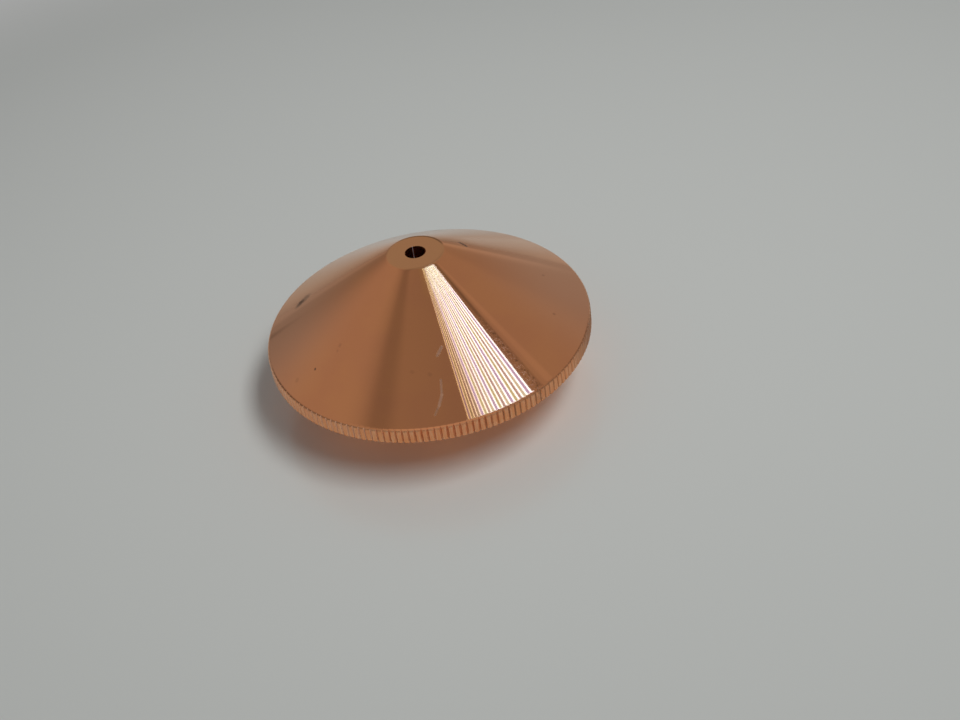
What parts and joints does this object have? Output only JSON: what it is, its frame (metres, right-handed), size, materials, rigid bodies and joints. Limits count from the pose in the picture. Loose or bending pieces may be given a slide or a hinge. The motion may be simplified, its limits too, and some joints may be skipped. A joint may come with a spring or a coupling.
{
  "type": "laser cutting nozzle",
  "caption": "Wide conical copper nozzle with a flat orifice tip, a knurled hand-grip rim and a short threaded shank behind it.",
  "frame": {"origin": "centre of the threaded shank's end face, on the flow axis, where the nozzle stands", "axes": "+Z along the flow axis, from the shank's end towards the nose"},
  "size_m": [0.032, 0.032, 0.015],
  "materials": {
    "copper": null
  },
  "bodies": {
    "root": {"nozzle_body": "copper"}
  },
  "joints": []
}
